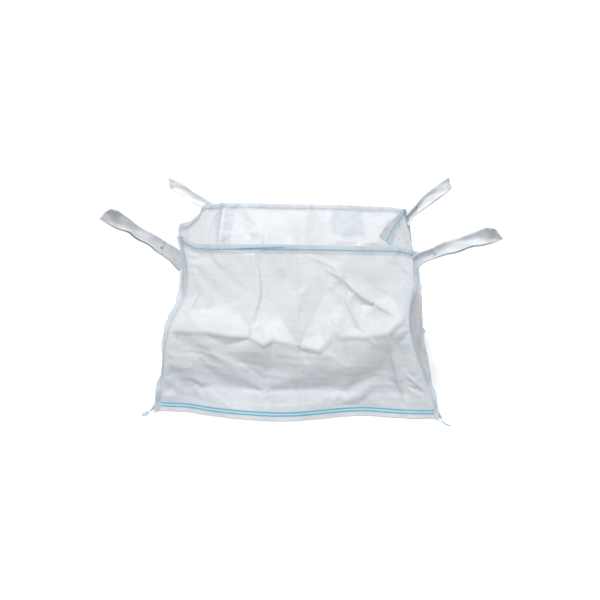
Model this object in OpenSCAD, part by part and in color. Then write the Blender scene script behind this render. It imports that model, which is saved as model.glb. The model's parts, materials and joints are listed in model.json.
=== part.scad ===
// Open-top woven bulk bag with four corner lifting loops, standing empty.
// Origin: centre of the underside of the base. +X right, +Y to the back, +Z up.

/* [Body] */
// Half width of the base, from the centre to a base seam
base_half = 443; // [420:1:470]
// Height of the mouth's top edge above the floor
bag_h = 545; // [520:1:580]
// Height of the horizontal fold half way up the walls
fold_z = 260; // [230:1:290]
// Wall thickness: two coated woven layers with their slack
wall_t = 2; // [1.6:0.1:2.4]
// Width of the seam allowance that stands out of each corner
fin_w = 22; // [18:1:24]

/* [Mouth hem] */
// Depth of the folded hem band
hem_w = 25; // [20:1:35]
// Distance of the hem stitching below the top edge
hem_stitch_drop = 17; // [14:1:19]
// Extra thickness of the folded band
hem_t = 1.6; // [1:0.1:2]

/* [Lifting loops] */
// Width of the loop webbing
strap_w = 50; // [40:1:52]
// Thickness of one layer of webbing
strap_t = 1.6; // [1.2:0.1:1.8]
// Length of the neck, from its pivot to its tack
neck_len = 47; // [44:1:55]
// Length of the open eye, past the neck
eye_len = 222; // [180:1:240]
// Widest gap between the eye's two legs
eye_gap = 15; // [12:1:18]
// Height at which the webbing leaves the corner seam
loop_z = 518; // [490:1:518]

/* [Stitching] */
// Diameter of the sewing thread rows
thread_d = 1.6; // [1:0.1:1.8]
// Spacing of the two rows of a double seam
row_gap = 9; // [7:1:11]

/* [Label] */
// Width of the blank label under the back hem
label_w = 122; // [100:1:180]
// Drop of the label below the hem stitching
label_h = 100; // [60:1:160]
// Distance of the label's middle from the bag's middle, to the right
label_x = 130; // [80:1:200]

/* [Hidden] */
sides = ["front", "right", "back", "left"];
corners = ["front_left", "front_right", "back_right", "back_left"];

fabric_white = [0.93, 0.94, 0.96];
webbing_white = [0.88, 0.89, 0.91];
thread_blue = [0.15, 0.55, 0.80];
label_grey = [0.82, 0.86, 0.88];

// Wall sections from the floor up: fin end, base seam, skirt bend, mid fold, hem edge twice, top edge
skirt_z = 75;
hem_z = bag_h - hem_w;
level_z = [2.5, 26, skirt_z, fold_z, hem_z - 1.5, hem_z, bag_h];
levels = len(level_z);
fin_drop = 14;      // how far the base seam's fin reaches out past the seam
skirt_in = 18;      // how far the wall stands back above the base seam
top_level = levels - 1;
fold_level = 3;

// Corner seam positions at the fold and at the top edge, in the order of corners
fold_corner = [[-405, -430], [366, -428], [410, 425], [-410, 425]];
top_corner = [[-361, -372], [361, -372], [358, 352], [-358, 385]];
corner_sign = [[-1, -1], [1, -1], [1, 1], [-1, 1]];

// How far each wall's middle stands out of the line between its corners, in the order of sides
fold_bulge = [24, 48, 26, 60];
top_bulge = [0, -70, 4, 62];
base_bow = [50, 6, 8, 6];
skirt_bulge = [34, 10, 6, 12];
top_sag = [2, 26, 4, 6];
bulge_power = 2.5;

wall_steps = 12;
seam_gap = 3;       // room between two seam allowances, which the webbing's ends fill
skin = 0.4;         // clearance between a thread row or label and the cloth under it

out_dir = [[0, -1], [1, 0], [0, 1], [-1, 0]];
along_dir = [[1, 0], [0, 1], [-1, 0], [0, -1]];
fin_dir = [for (s = corner_sign) s / sqrt(2)];

function lerp(a, b, t) = a + (b - a) * t;
function unit(v) = v / norm(v);
function rise(k) = (level_z[k] - fold_z) / (bag_h - fold_z);

// Corner seam position at a level
function corner_at(c, k) =
    k == 0 ? corner_sign[c] * (base_half + fin_drop)
    : k == 1 ? corner_sign[c] * base_half
    : k == 2 ? corner_sign[c] * (base_half - skirt_in)
    : lerp(fold_corner[c], top_corner[c], rise(k));

// Corner seam position at any height above the fold
function corner_at_z(c, z) =
    lerp(fold_corner[c], top_corner[c], (z - fold_z) / (bag_h - fold_z));

function bulge_at(side, k) =
    k < 2 ? base_bow[side]
    : k == 2 ? skirt_bulge[side]
    : lerp(fold_bulge[side], top_bulge[side], rise(k));

function crown(s) = 1 - pow(abs(2 * s - 1), bulge_power);

function sag_at(side, s, k) = k <= fold_level ? 0 : -top_sag[side] * crown(s) * rise(k);

// Inner outline of a wall at a level: fin end, corner, cloth, corner, fin end
function wall_outline(side, k) =
    let (l = side, r = (side + 1) % 4,
        half_gap = seam_gap / 2,
        shift_l = unit(along_dir[side] + out_dir[side]) * half_gap,
        shift_r = unit(out_dir[side] - along_dir[side]) * half_gap,
        a = corner_at(l, k) + shift_l, b = corner_at(r, k) + shift_r)
    concat([a + fin_dir[l] * fin_w],
        [for (i = [0:wall_steps]) let (s = i / wall_steps)
            lerp(a, b, s) + out_dir[side] * bulge_at(side, k) * crown(s)],
        [b + fin_dir[r] * fin_w]);

function outward(d) = [d[1], -d[0]];

// Mitred outward direction at each point of an outline
function mitres(p) = let (n = len(p))
    [for (i = [0:n - 1])
        let (d1 = i > 0 ? unit(p[i] - p[i - 1]) : unit(p[1] - p[0]),
            d2 = i < n - 1 ? unit(p[i + 1] - p[i]) : unit(p[n - 1] - p[n - 2]),
            n1 = outward(d1), n2 = outward(d2))
        (n1 + n2) / (1 + n1 * n2)];

// A wall's outline at a level, moved outward and set at its height
function wall_row(side, k, off) =
    let (p = wall_outline(side, k), m = mitres(p))
    [for (i = [0:len(p) - 1])
        let (q = p[i] + m[i] * off,
            s = min(max((i - 1) / wall_steps, 0), 1))
        [q[0], q[1], level_z[k] + sag_at(side, s, k)]];

function cloth_t(k) = k >= top_level - 1 ? wall_t + hem_t : wall_t;

// A closed sheet between two stacks of rows: the inner rows and the outer rows
module sheet_solid(inner, outer) {
    rows = len(inner);
    cols = len(inner[0]);
    points = [for (k = [0:rows - 1]) each concat(inner[k], outer[k])];
    function at_in(k, j) = k * 2 * cols + j;
    function at_out(k, j) = k * 2 * cols + cols + j;
    function quad(a, b, c, d) = [[a, b, c], [a, c, d]];
    faces = concat(
        [for (k = [0:rows - 2], j = [0:cols - 2])
            each quad(at_in(k, j), at_in(k, j + 1), at_in(k + 1, j + 1), at_in(k + 1, j))],
        [for (k = [0:rows - 2], j = [0:cols - 2])
            each quad(at_out(k, j), at_out(k + 1, j), at_out(k + 1, j + 1), at_out(k, j + 1))],
        [for (k = [0:rows - 2])
            each quad(at_in(k, 0), at_in(k + 1, 0), at_out(k + 1, 0), at_out(k, 0))],
        [for (k = [0:rows - 2])
            each quad(at_in(k, cols - 1), at_out(k, cols - 1),
                at_out(k + 1, cols - 1), at_in(k + 1, cols - 1))],
        [for (j = [0:cols - 2])
            each quad(at_in(0, j), at_out(0, j), at_out(0, j + 1), at_in(0, j + 1))],
        [for (j = [0:cols - 2])
            each quad(at_in(rows - 1, j), at_in(rows - 1, j + 1),
                at_out(rows - 1, j + 1), at_out(rows - 1, j))]);
    polyhedron(points, faces);
}

// A round bar swept along a path; each ring is square to the path's direction there
module swept_bar(path, d, bar_sides = 6) {
    n = len(path);
    function direction(i) = unit(path[min(i + 1, n - 1)] - path[max(i - 1, 0)]);
    function side_dir(t) = unit(cross(t, abs(t[2]) > 0.9 ? [1, 0, 0] : [0, 0, 1]));
    points = [for (i = [0:n - 1]) let (t = direction(i), u = side_dir(t), v = cross(t, u))
        each [for (j = [0:bar_sides - 1]) let (a = 360 * j / bar_sides)
            path[i] + (u * cos(a) + v * sin(a)) * d / 2]];
    faces = concat([[for (j = [0:bar_sides - 1]) j]],
        [for (i = [0:n - 2], j = [0:bar_sides - 1])
            let (a = i * bar_sides, b = a + bar_sides, m = (j + 1) % bar_sides)
            each [[a + j, b + m, a + m], [a + j, b + j, b + m]]],
        [[for (j = [bar_sides - 1:-1:0]) (n - 1) * bar_sides + j]]);
    polyhedron(points, faces);
}

module wall_panel(side) {
    color(fabric_white)
        sheet_solid([for (k = [0:top_level]) wall_row(side, k, 0)],
            [for (k = [0:top_level]) wall_row(side, k, cloth_t(k))]);
}

// Rings of the base from its middle out: half size, underside, top, share of the bow
flat_half = base_half - 43;
base_rings = [[flat_half, 0, wall_t, 0], [base_half - 4, 22.5 - wall_t, 22.5, 1],
    [base_half + 8, 0.2, 2.2, 1]];

// One ring of the base, side after side, from each side's left corner
function base_ring(half, bow, z) = [for (side = [0:3])
    let (a = corner_sign[side] * half, b = corner_sign[(side + 1) % 4] * half)
    each [for (i = [0:wall_steps - 1]) let (s = i / wall_steps,
        q = lerp(a, b, s) + out_dir[side] * base_bow[side] * bow * crown(s))
        [q[0], q[1], z]]];

module base_panel() {
    tops = [for (r = base_rings) base_ring(r[0], r[3], r[2])];
    unders = [for (r = base_rings) base_ring(r[0], r[3], r[1])];
    points = [for (r = concat(tops, unders)) each r];
    cols = 4 * wall_steps;
    last = len(base_rings) - 1;
    half = len(base_rings) * cols;
    function next(j) = (j + 1) % cols;
    faces = concat(
        [[for (j = [cols - 1:-1:0]) j]],
        [[for (j = [0:cols - 1]) half + j]],
        [for (r = [0:last - 1], j = [0:cols - 1]) let (a = r * cols, b = a + cols, m = next(j))
            each [[a + j, a + m, b + m], [a + j, b + m, b + j]]],
        [for (r = [0:last - 1], j = [0:cols - 1]) let (a = half + r * cols, b = a + cols, m = next(j))
            each [[a + j, b + m, a + m], [a + j, b + j, b + m]]],
        [for (j = [0:cols - 1]) let (a = last * cols, b = half + last * cols, m = next(j))
            each [[a + j, a + m, b + m], [a + j, b + m, b + j]]]);
    color(fabric_white) polyhedron(points, faces);
}

// Points between two levels of a wall, a share of the way up, lifted off the cloth
function between_rows(side, k, share, off) =
    let (a = wall_row(side, k, off), b = wall_row(side, k + 1, off))
    [for (i = [0:len(a) - 1]) lerp(a[i], b[i], share)];

thread_off = wall_t + skin + thread_d / 2;

// The hem's row of stitches goes once round the mouth, one stretch to each wall
module hem_stitch() {
    share = 1 - hem_stitch_drop / hem_w;
    color(thread_blue) for (side = [0:3]) {
        row = between_rows(side, top_level - 1, share, thread_off + hem_t + skin);
        swept_bar([for (i = [1:len(row) - 2]) row[i]], thread_d);
    }
}

// Two rows along a wall's base seam
module base_stitch(side) {
    color(thread_blue) for (r = [0, 1]) {
        share = 0.94 - r * row_gap / (level_z[1] - level_z[0]);
        row = between_rows(side, 0, share, thread_off);
        swept_bar([for (i = [1:len(row) - 2]) row[i]], thread_d);
    }
}

// A corner seam's double row, on both faces of its two seam allowances
module corner_stitch(c) {
    across = [fin_dir[c][1], -fin_dir[c][0]];
    face = seam_gap / 2 + wall_t + skin + thread_d / 2;
    color(thread_blue) for (m = [-1, 1], r = [0, 1])
        swept_bar([for (k = [1:top_level - 2])
            let (p = corner_at(c, k) + fin_dir[c] * (8 + r * row_gap) + across * m * face)
            [p[0], p[1], level_z[k]]], thread_d);
}

loop_azimuth = [226, -37, 51, 144];
loop_lift = [35, 24, 19, 17];
pivot_off = 26;
neck_root_r = 12;
end_low = 60;       // how far the webbing's sewn ends reach below the loop's height
end_high = 10;      // how far they reach above it
flex_gap = 4;       // free length between neck and eye, where the webbing bends
end_reach = pivot_off - neck_root_r - 1.5;  // how far the sewn ends stand out of the seam

function heading(c) = [cos(loop_azimuth[c]), sin(loop_azimuth[c])];
function pivot_of(c) =
    let (p = corner_at_z(c, loop_z) + fin_dir[c] * fin_w + heading(c) * pivot_off)
    [p[0], p[1], loop_z];

// The webbing's sewn ends, held between the two seam allowances, with the tongue
// that stands out of the seam as far as the neck's round root
module loop_end(c) {
    across = [fin_dir[c][1], -fin_dir[c][0]];
    half_t = seam_gap / 2 - skin;
    tongue = 0.8 * neck_root_r;
    function edge(row, m) = [for (reach = [1, fin_w + row[1]])
        let (p = corner_at_z(c, loop_z + row[0]) + fin_dir[c] * reach + across * m * half_t)
        [p[0], p[1], loop_z + row[0]]];
    rows = [[-end_low, 1], [-tongue, end_reach], [tongue, end_reach], [end_high, 1]];
    color(webbing_white) sheet_solid([for (row = rows) edge(row, 1)],
        [for (row = rows) edge(row, -1)]);
}

// Places a loop's parts: X along the webbing, Y square to its face, Z across its width
module at_loop(c) {
    translate(pivot_of(c)) rotate([0, -loop_lift[c], loop_azimuth[c]]) children();
}

module loop_neck(c) {
    t = 2 * strap_t;
    wide = strap_w / 2;
    waist = neck_root_r + 1;
    spread = [0.45 * neck_len, neck_len - 5];
    color(webbing_white) at_loop(c) rotate([90, 0, 0]) linear_extrude(t, center = true)
        union() {
            circle(neck_root_r, $fn = 48);
            polygon([[0, -neck_root_r], [spread[0], -waist], [spread[1], -wide], [neck_len, -wide],
                [neck_len, wide], [spread[1], wide], [spread[0], waist], [0, neck_root_r]]);
        }
}

// A short tack through both layers, seen as one bar on each face of the neck
module loop_tack(c) {
    off = strap_t + skin + thread_d / 2;
    color(thread_blue) at_loop(c) for (m = [-1, 1])
        translate([neck_len - 8, m * off, 0]) rotate([0, 90, 0])
            cylinder(h = 7, d = thread_d, center = true, $fn = 24);
}

eye_steps = 28;
leg_part = 0.3;     // half the gap that is left between the legs at the neck

// Half gap between the legs at a share of the eye's length: opens slowly, closes round
function eye_half(u) = leg_part + (eye_gap / 2 - leg_part) * pow(u, 0.8) * sqrt(1 - u) / 0.4203;
function eye_side(m) = [for (i = [0:eye_steps]) let (u = 1 - pow(1 - i / eye_steps, 2))
    [u * (eye_len - strap_t), m * (i == eye_steps ? 0 : eye_half(u))]];

module lift_loop(c) {
    low = eye_side(-1);
    high = eye_side(1);
    inside = concat(low, [for (i = [eye_steps - 1:-1:0]) high[i]]);
    color(webbing_white) at_loop(c) translate([neck_len + flex_gap, 0, 0])
        linear_extrude(strap_w, center = true)
        difference() {
            intersection() {
                offset(r = strap_t, $fn = 24) polygon(inside);
                translate([0, -eye_gap]) square([eye_len + 1, 2 * eye_gap]);
            }
            polygon(inside);
        }
}

// The chain-stitched thread that runs on past each end of the front base seam
tail_d = 2.6;
tail_left = [[-456, -476, 18], [-461, -480, 15], [-467, -482, 11], [-474, -482, 7],
    [-481, -483, 4], [-488, -486, 3], [-493, -492, 3], [-491, -499, 3], [-484, -502, 3],
    [-478, -498, 4], [-477, -491, 7], [-481, -485, 9], [-487, -482, 8]];
tail_right = [[456, -476, 18], [461, -481, 15], [466, -486, 11], [470, -492, 7],
    [474, -498, 4], [479, -504, 3], [485, -509, 3], [491, -512, 3]];

module thread_tail(route) {
    color(thread_blue) swept_bar(route, tail_d, 8);
}

// A blank label whose top edge is caught by the hem stitching, outside the back wall
module blank_label() {
    side = 2;
    t = 0.8;
    top_z = hem_z - 4;
    step = (top_corner[2][0] - top_corner[3][0]) / wall_steps;
    middle = 1 + (top_corner[2][0] - label_x) / step;
    half_cols = label_w / 2 / step;
    function on_wall(col, z, off) =
        let (share = (z - fold_z) / (hem_z - 1.5 - fold_z),
            row = between_rows(side, fold_level, share, off), i = floor(col))
        lerp(row[i], row[i + 1], col - i);
    function label_row(z, off) =
        [for (m = [-1:0.25:1]) on_wall(middle + m * half_cols, z, off)];
    heights = [top_z - label_h, top_z];
    color(label_grey) sheet_solid([for (z = heights) label_row(z, wall_t + skin + 0.3)],
        [for (z = heights) label_row(z, wall_t + skin + 0.3 + t)]);
}

base_panel();
for (i = [0:3]) wall_panel(i);
hem_stitch();
for (i = [0:3]) base_stitch(i);
for (i = [0:3]) corner_stitch(i);
for (i = [0:3]) loop_end(i);
for (i = [0:3]) loop_neck(i);
for (i = [0:3]) loop_tack(i);
for (i = [0:3]) lift_loop(i);
thread_tail(tail_left);  // thread_tail_front_left
thread_tail(tail_right);  // thread_tail_front_right
blank_label();
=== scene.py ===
import json
import math

import bpy
import numpy as np
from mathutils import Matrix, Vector
from mathutils.geometry import delaunay_2d_cdt


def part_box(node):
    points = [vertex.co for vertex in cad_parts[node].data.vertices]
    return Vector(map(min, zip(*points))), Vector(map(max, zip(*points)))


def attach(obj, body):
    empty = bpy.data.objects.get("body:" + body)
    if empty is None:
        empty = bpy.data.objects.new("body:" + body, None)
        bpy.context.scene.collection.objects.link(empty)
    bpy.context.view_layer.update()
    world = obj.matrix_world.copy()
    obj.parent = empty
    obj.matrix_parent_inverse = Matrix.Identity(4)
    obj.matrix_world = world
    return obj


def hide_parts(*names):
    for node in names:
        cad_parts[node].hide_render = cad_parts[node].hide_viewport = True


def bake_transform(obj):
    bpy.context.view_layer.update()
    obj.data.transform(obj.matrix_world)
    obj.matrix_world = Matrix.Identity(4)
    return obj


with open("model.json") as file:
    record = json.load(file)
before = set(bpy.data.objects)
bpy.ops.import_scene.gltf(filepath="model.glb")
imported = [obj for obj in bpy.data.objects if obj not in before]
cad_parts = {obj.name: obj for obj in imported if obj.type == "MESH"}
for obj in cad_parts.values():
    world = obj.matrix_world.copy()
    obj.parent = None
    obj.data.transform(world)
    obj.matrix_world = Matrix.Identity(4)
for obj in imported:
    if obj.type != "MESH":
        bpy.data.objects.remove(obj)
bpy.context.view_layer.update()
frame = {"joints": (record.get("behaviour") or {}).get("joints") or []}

scene = bpy.context.scene

# ---------------------------------------------------------------- sizes, in metres
SIDES = ("front", "right", "back", "left")
CORNERS = ("front_left", "front_right", "back_right", "back_left")
OUT = np.array([[0, -1, 0], [1, 0, 0], [0, 1, 0], [-1, 0, 0]], float)
CORNER_SIGN = np.array([[-1, -1], [1, -1], [1, 1], [-1, 1]], float)

BAG_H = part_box("front_panel")[1][2]
FIN_W = 0.022           # seam allowance that stands out of each corner
FIN_DROP = 0.014        # how far the base's seam allowance reaches out past its seam
BASE_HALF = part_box("back_panel")[1][0] - FIN_W / math.sqrt(2) - FIN_DROP
SEAM_Z = 0.026          # height of the base seam
FLOOR_GAP = 0.0025      # height of the seam allowance's edge above the floor
HEM_W = 0.025           # depth of the folded hem
HEM_STITCH = 0.015      # hem stitching below the top edge
HEM_LIFT = 0.0016       # distance of the folded layer from the wall
THREAD_D = 0.0026
STITCH = 0.0095         # length of one stitch
STRAP_W = 0.050
STRAP_T = 0.0016

# ---------------------------------------------------------------- camera
camera_data = bpy.data.cameras.new("camera")
camera_data.lens = 54
camera_data.sensor_width = 36
camera = bpy.data.objects.new("camera", camera_data)
scene.collection.objects.link(camera)
CAMERA_AIM = Vector((-0.019, 0, 0.258))
CAMERA_AZIMUTH = math.radians(4.22)
CAMERA_ELEVATION = math.radians(15.57)
CAMERA_DISTANCE = 3.277
camera.location = CAMERA_AIM + CAMERA_DISTANCE * Vector((
    math.sin(CAMERA_AZIMUTH) * math.cos(CAMERA_ELEVATION),
    -math.cos(CAMERA_AZIMUTH) * math.cos(CAMERA_ELEVATION),
    math.sin(CAMERA_ELEVATION)))
camera.rotation_euler = (CAMERA_AIM - camera.location).to_track_quat("-Z", "Y").to_euler()
scene.camera = camera


# ---------------------------------------------------------------- mesh helpers
def add_mesh(name, points, faces, uvs=None, material=None, smooth=True):
    """A mesh object from points and faces, with one UV pair to each point."""
    mesh = bpy.data.meshes.new(name)
    mesh.from_pydata([tuple(p) for p in points], [], [tuple(f) for f in faces])
    if uvs is not None:
        layer = mesh.uv_layers.new(name="cloth")
        corner_points = np.empty(len(mesh.loops), dtype=np.int64)
        mesh.loops.foreach_get("vertex_index", corner_points)
        layer.data.foreach_set("uv", np.asarray(uvs, float)[corner_points].ravel())
    mesh.polygons.foreach_set("use_smooth", [smooth] * len(mesh.polygons))
    mesh.update()
    obj = bpy.data.objects.new(name, mesh)
    scene.collection.objects.link(obj)
    if material is not None:
        mesh.materials.append(material)
    return obj


def grid_faces(rows, cols, start=0):
    """Quads of a grid of rows by cols points."""
    return [(start + j * cols + i, start + j * cols + i + 1,
             start + (j + 1) * cols + i + 1, start + (j + 1) * cols + i)
            for j in range(rows - 1) for i in range(cols - 1)]


def unit(v):
    v = np.asarray(v, float)
    return v / np.maximum(np.linalg.norm(v, axis=-1, keepdims=True), 1e-12)


def smooth_step(x):
    x = np.clip(x, 0, 1)
    return x * x * (3 - 2 * x)


def value_noise(seed, u, v):
    """Smooth noise from -1 to 1 at points u, v of a unit lattice."""
    lattice = np.random.RandomState(seed).uniform(-1, 1, (64, 64))
    iu, iv = np.floor(u).astype(int), np.floor(v).astype(int)
    fu, fv = smooth_step(u - iu), smooth_step(v - iv)
    a = lattice[iu % 64, iv % 64]
    b = lattice[(iu + 1) % 64, iv % 64]
    c = lattice[iu % 64, (iv + 1) % 64]
    d = lattice[(iu + 1) % 64, (iv + 1) % 64]
    return (a * (1 - fu) + b * fu) * (1 - fv) + (c * (1 - fu) + d * fu) * fv


def rows_softened(a, passes):
    """Rows smoothed along their order, with the first and last held."""
    a = np.array(a, float)
    for _ in range(passes):
        a[1:-1] = (a[:-2] + 2 * a[1:-1] + a[2:]) / 4
    return a


def lengths_along(path):
    """The distance along a path to each of its points."""
    return np.concatenate([[0], np.cumsum(np.linalg.norm(np.diff(path, axis=0), axis=1))])


def points_at(places, known_places, known_points):
    """Points, or part of them, at places between known ones."""
    return np.stack([np.interp(places, known_places, column) for column in np.transpose(known_points)], -1)


def doubled(a, axis):
    """Twice as many steps along one axis, on a smooth curve through the same points."""
    a = np.moveaxis(np.asarray(a, float), axis, 0)
    middle = np.empty((len(a) - 1,) + a.shape[1:])
    middle[1:-1] = (9 * (a[1:-2] + a[2:-1]) - a[:-3] - a[3:]) / 16
    middle[0] = (3 * a[0] + 6 * a[1] - a[2]) / 8
    middle[-1] = (3 * a[-1] + 6 * a[-2] - a[-3]) / 8
    out = np.empty((2 * len(a) - 1,) + a.shape[1:])
    out[::2] = a
    out[1::2] = middle
    return np.moveaxis(out, 0, axis)


def grid_normals(p):
    """Unit normals of a grid of points, rows going up and columns going right seen from outside."""
    return unit(np.cross(np.gradient(p, axis=1), np.gradient(p, axis=0)))


def joined(parts):
    """Several (points, faces, UVs) as one."""
    points, faces, uvs, count = [], [], [], 0
    for p, f, uv in parts:
        points.append(p)
        uvs.append(uv)
        faces += [tuple(v + count for v in face) for face in f]
        count += len(p)
    return np.concatenate(points), faces, np.concatenate(uvs)


def carried(obj, nodes):
    """A piece on the bag's own body that stands for CAD nodes."""
    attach(obj, "bag")
    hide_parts(*nodes)
    return obj


# ---------------------------------------------------------------- the bag's slumped shape
# Corner seams from the base seam up: height, x, y
SEAM_PATHS = {
    "front_left": ((.026, -.443, -.443), (.089, -.436, -.432), (.200, -.425, -.436), (.285, -.404, -.428),
                   (.330, -.378, -.402), (.375, -.352, -.384), (.440, -.348, -.376), (.500, -.358, -.374),
                   (.545, -.371, -.373)),
    "front_right": ((.026, .443, -.443), (.075, .430, -.428), (.167, .396, -.428), (.223, .374, -.428),
                    (.312, .353, -.426), (.359, .357, -.410), (.432, .365, -.394), (.545, .364, -.372)),
    "back_right": ((.026, .443, .443), (.080, .425, .425), (.260, .410, .425), (.400, .385, .388),
                   (.545, .358, .352)),
    "back_left": ((.026, -.443, .443), (.080, -.425, .425), (.270, -.410, .425), (.410, -.380, .402),
                  (.545, -.356, .385)),
}
# How far each wall's middle stands out past the line between its corners, by height
BULGES = {
    "front": ((.026, .000), (.060, .003), (.100, .008), (.160, .017), (.210, .025), (.258, .033), (.300, .026),
              (.390, .014), (.545, .000)),
    "right": ((.026, .002), (.075, .006), (.200, .022), (.277, .030), (.340, .026), (.400, .018), (.440, .010),
              (.480, .002), (.545, .000)),
    "back": ((.026, .008), (.075, .006), (.260, .030), (.400, .014), (.545, .004)),
    "left": ((.026, .006), (.075, .012), (.190, .034), (.240, .038), (.290, .030), (.340, .034), (.400, .048),
             (.450, .044), (.490, .022), (.545, .000)),
}
BULGE_POWER = {"front": 2.5, "right": 2.5, "back": 2.5, "left": 4}
BULGE_SOFTNESS = {"front": 18, "right": 30, "back": 30, "left": 24}
# Each top edge from its left corner: share of the width, distance out, distance up
TOP_EDGES = {
    "front": ((0, 0, .022), (.020, 0, .014), (.04, 0, -.001), (.08, 0, -.004), (.50, 0, -.002), (.93, 0, -.002),
              (.97, 0, -.007), (1, 0, -.016)),
    "right": ((0, 0, -.016), (.11, -.076, -.014), (.24, -.104, -.010), (.36, -.088, -.002), (.555, -.058, .001),
              (.79, -.025, -.002), (1, 0, -.009)),
    "back": ((0, 0, -.009), (.06, 0, -.003), (.30, .003, .001), (.60, .005, .001), (.90, .003, .001), (1, 0, 0)),
    "left": ((0, 0, 0), (.03, .026, 0), (.10, .056, .008), (.15, .064, .006), (.22, .058, -.008),
             (.32, .056, -.007), (.42, .060, -.010), (.50, .048, .002), (.56, .043, .005), (.67, .050, .016),
             (.76, .045, .024), (.90, .024, .026), (1, 0, .022)),
}
# Height share at which the lean towards the top edge begins
LEAN_FROM = {"front": .80, "right": .80, "back": .60, "left": .62}
# The front base seam's bow, from its left corner: share of the seam, distance out
FRONT_BOW = ((0, 0), (.05, .004), (.10, .001), (.20, .034), (.31, .052), (.42, .060), (.50, .054),
             (.60, .026), (.67, .004), (.75, -.010), (.86, .003), (.94, .008), (1, 0))
SKIRT_TOP = .088        # height at which the bow has faded out of the wall
TOP_FROM = .82          # height share at which the rise towards the top edge begins
LEAN_POWER = 1.7

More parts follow.
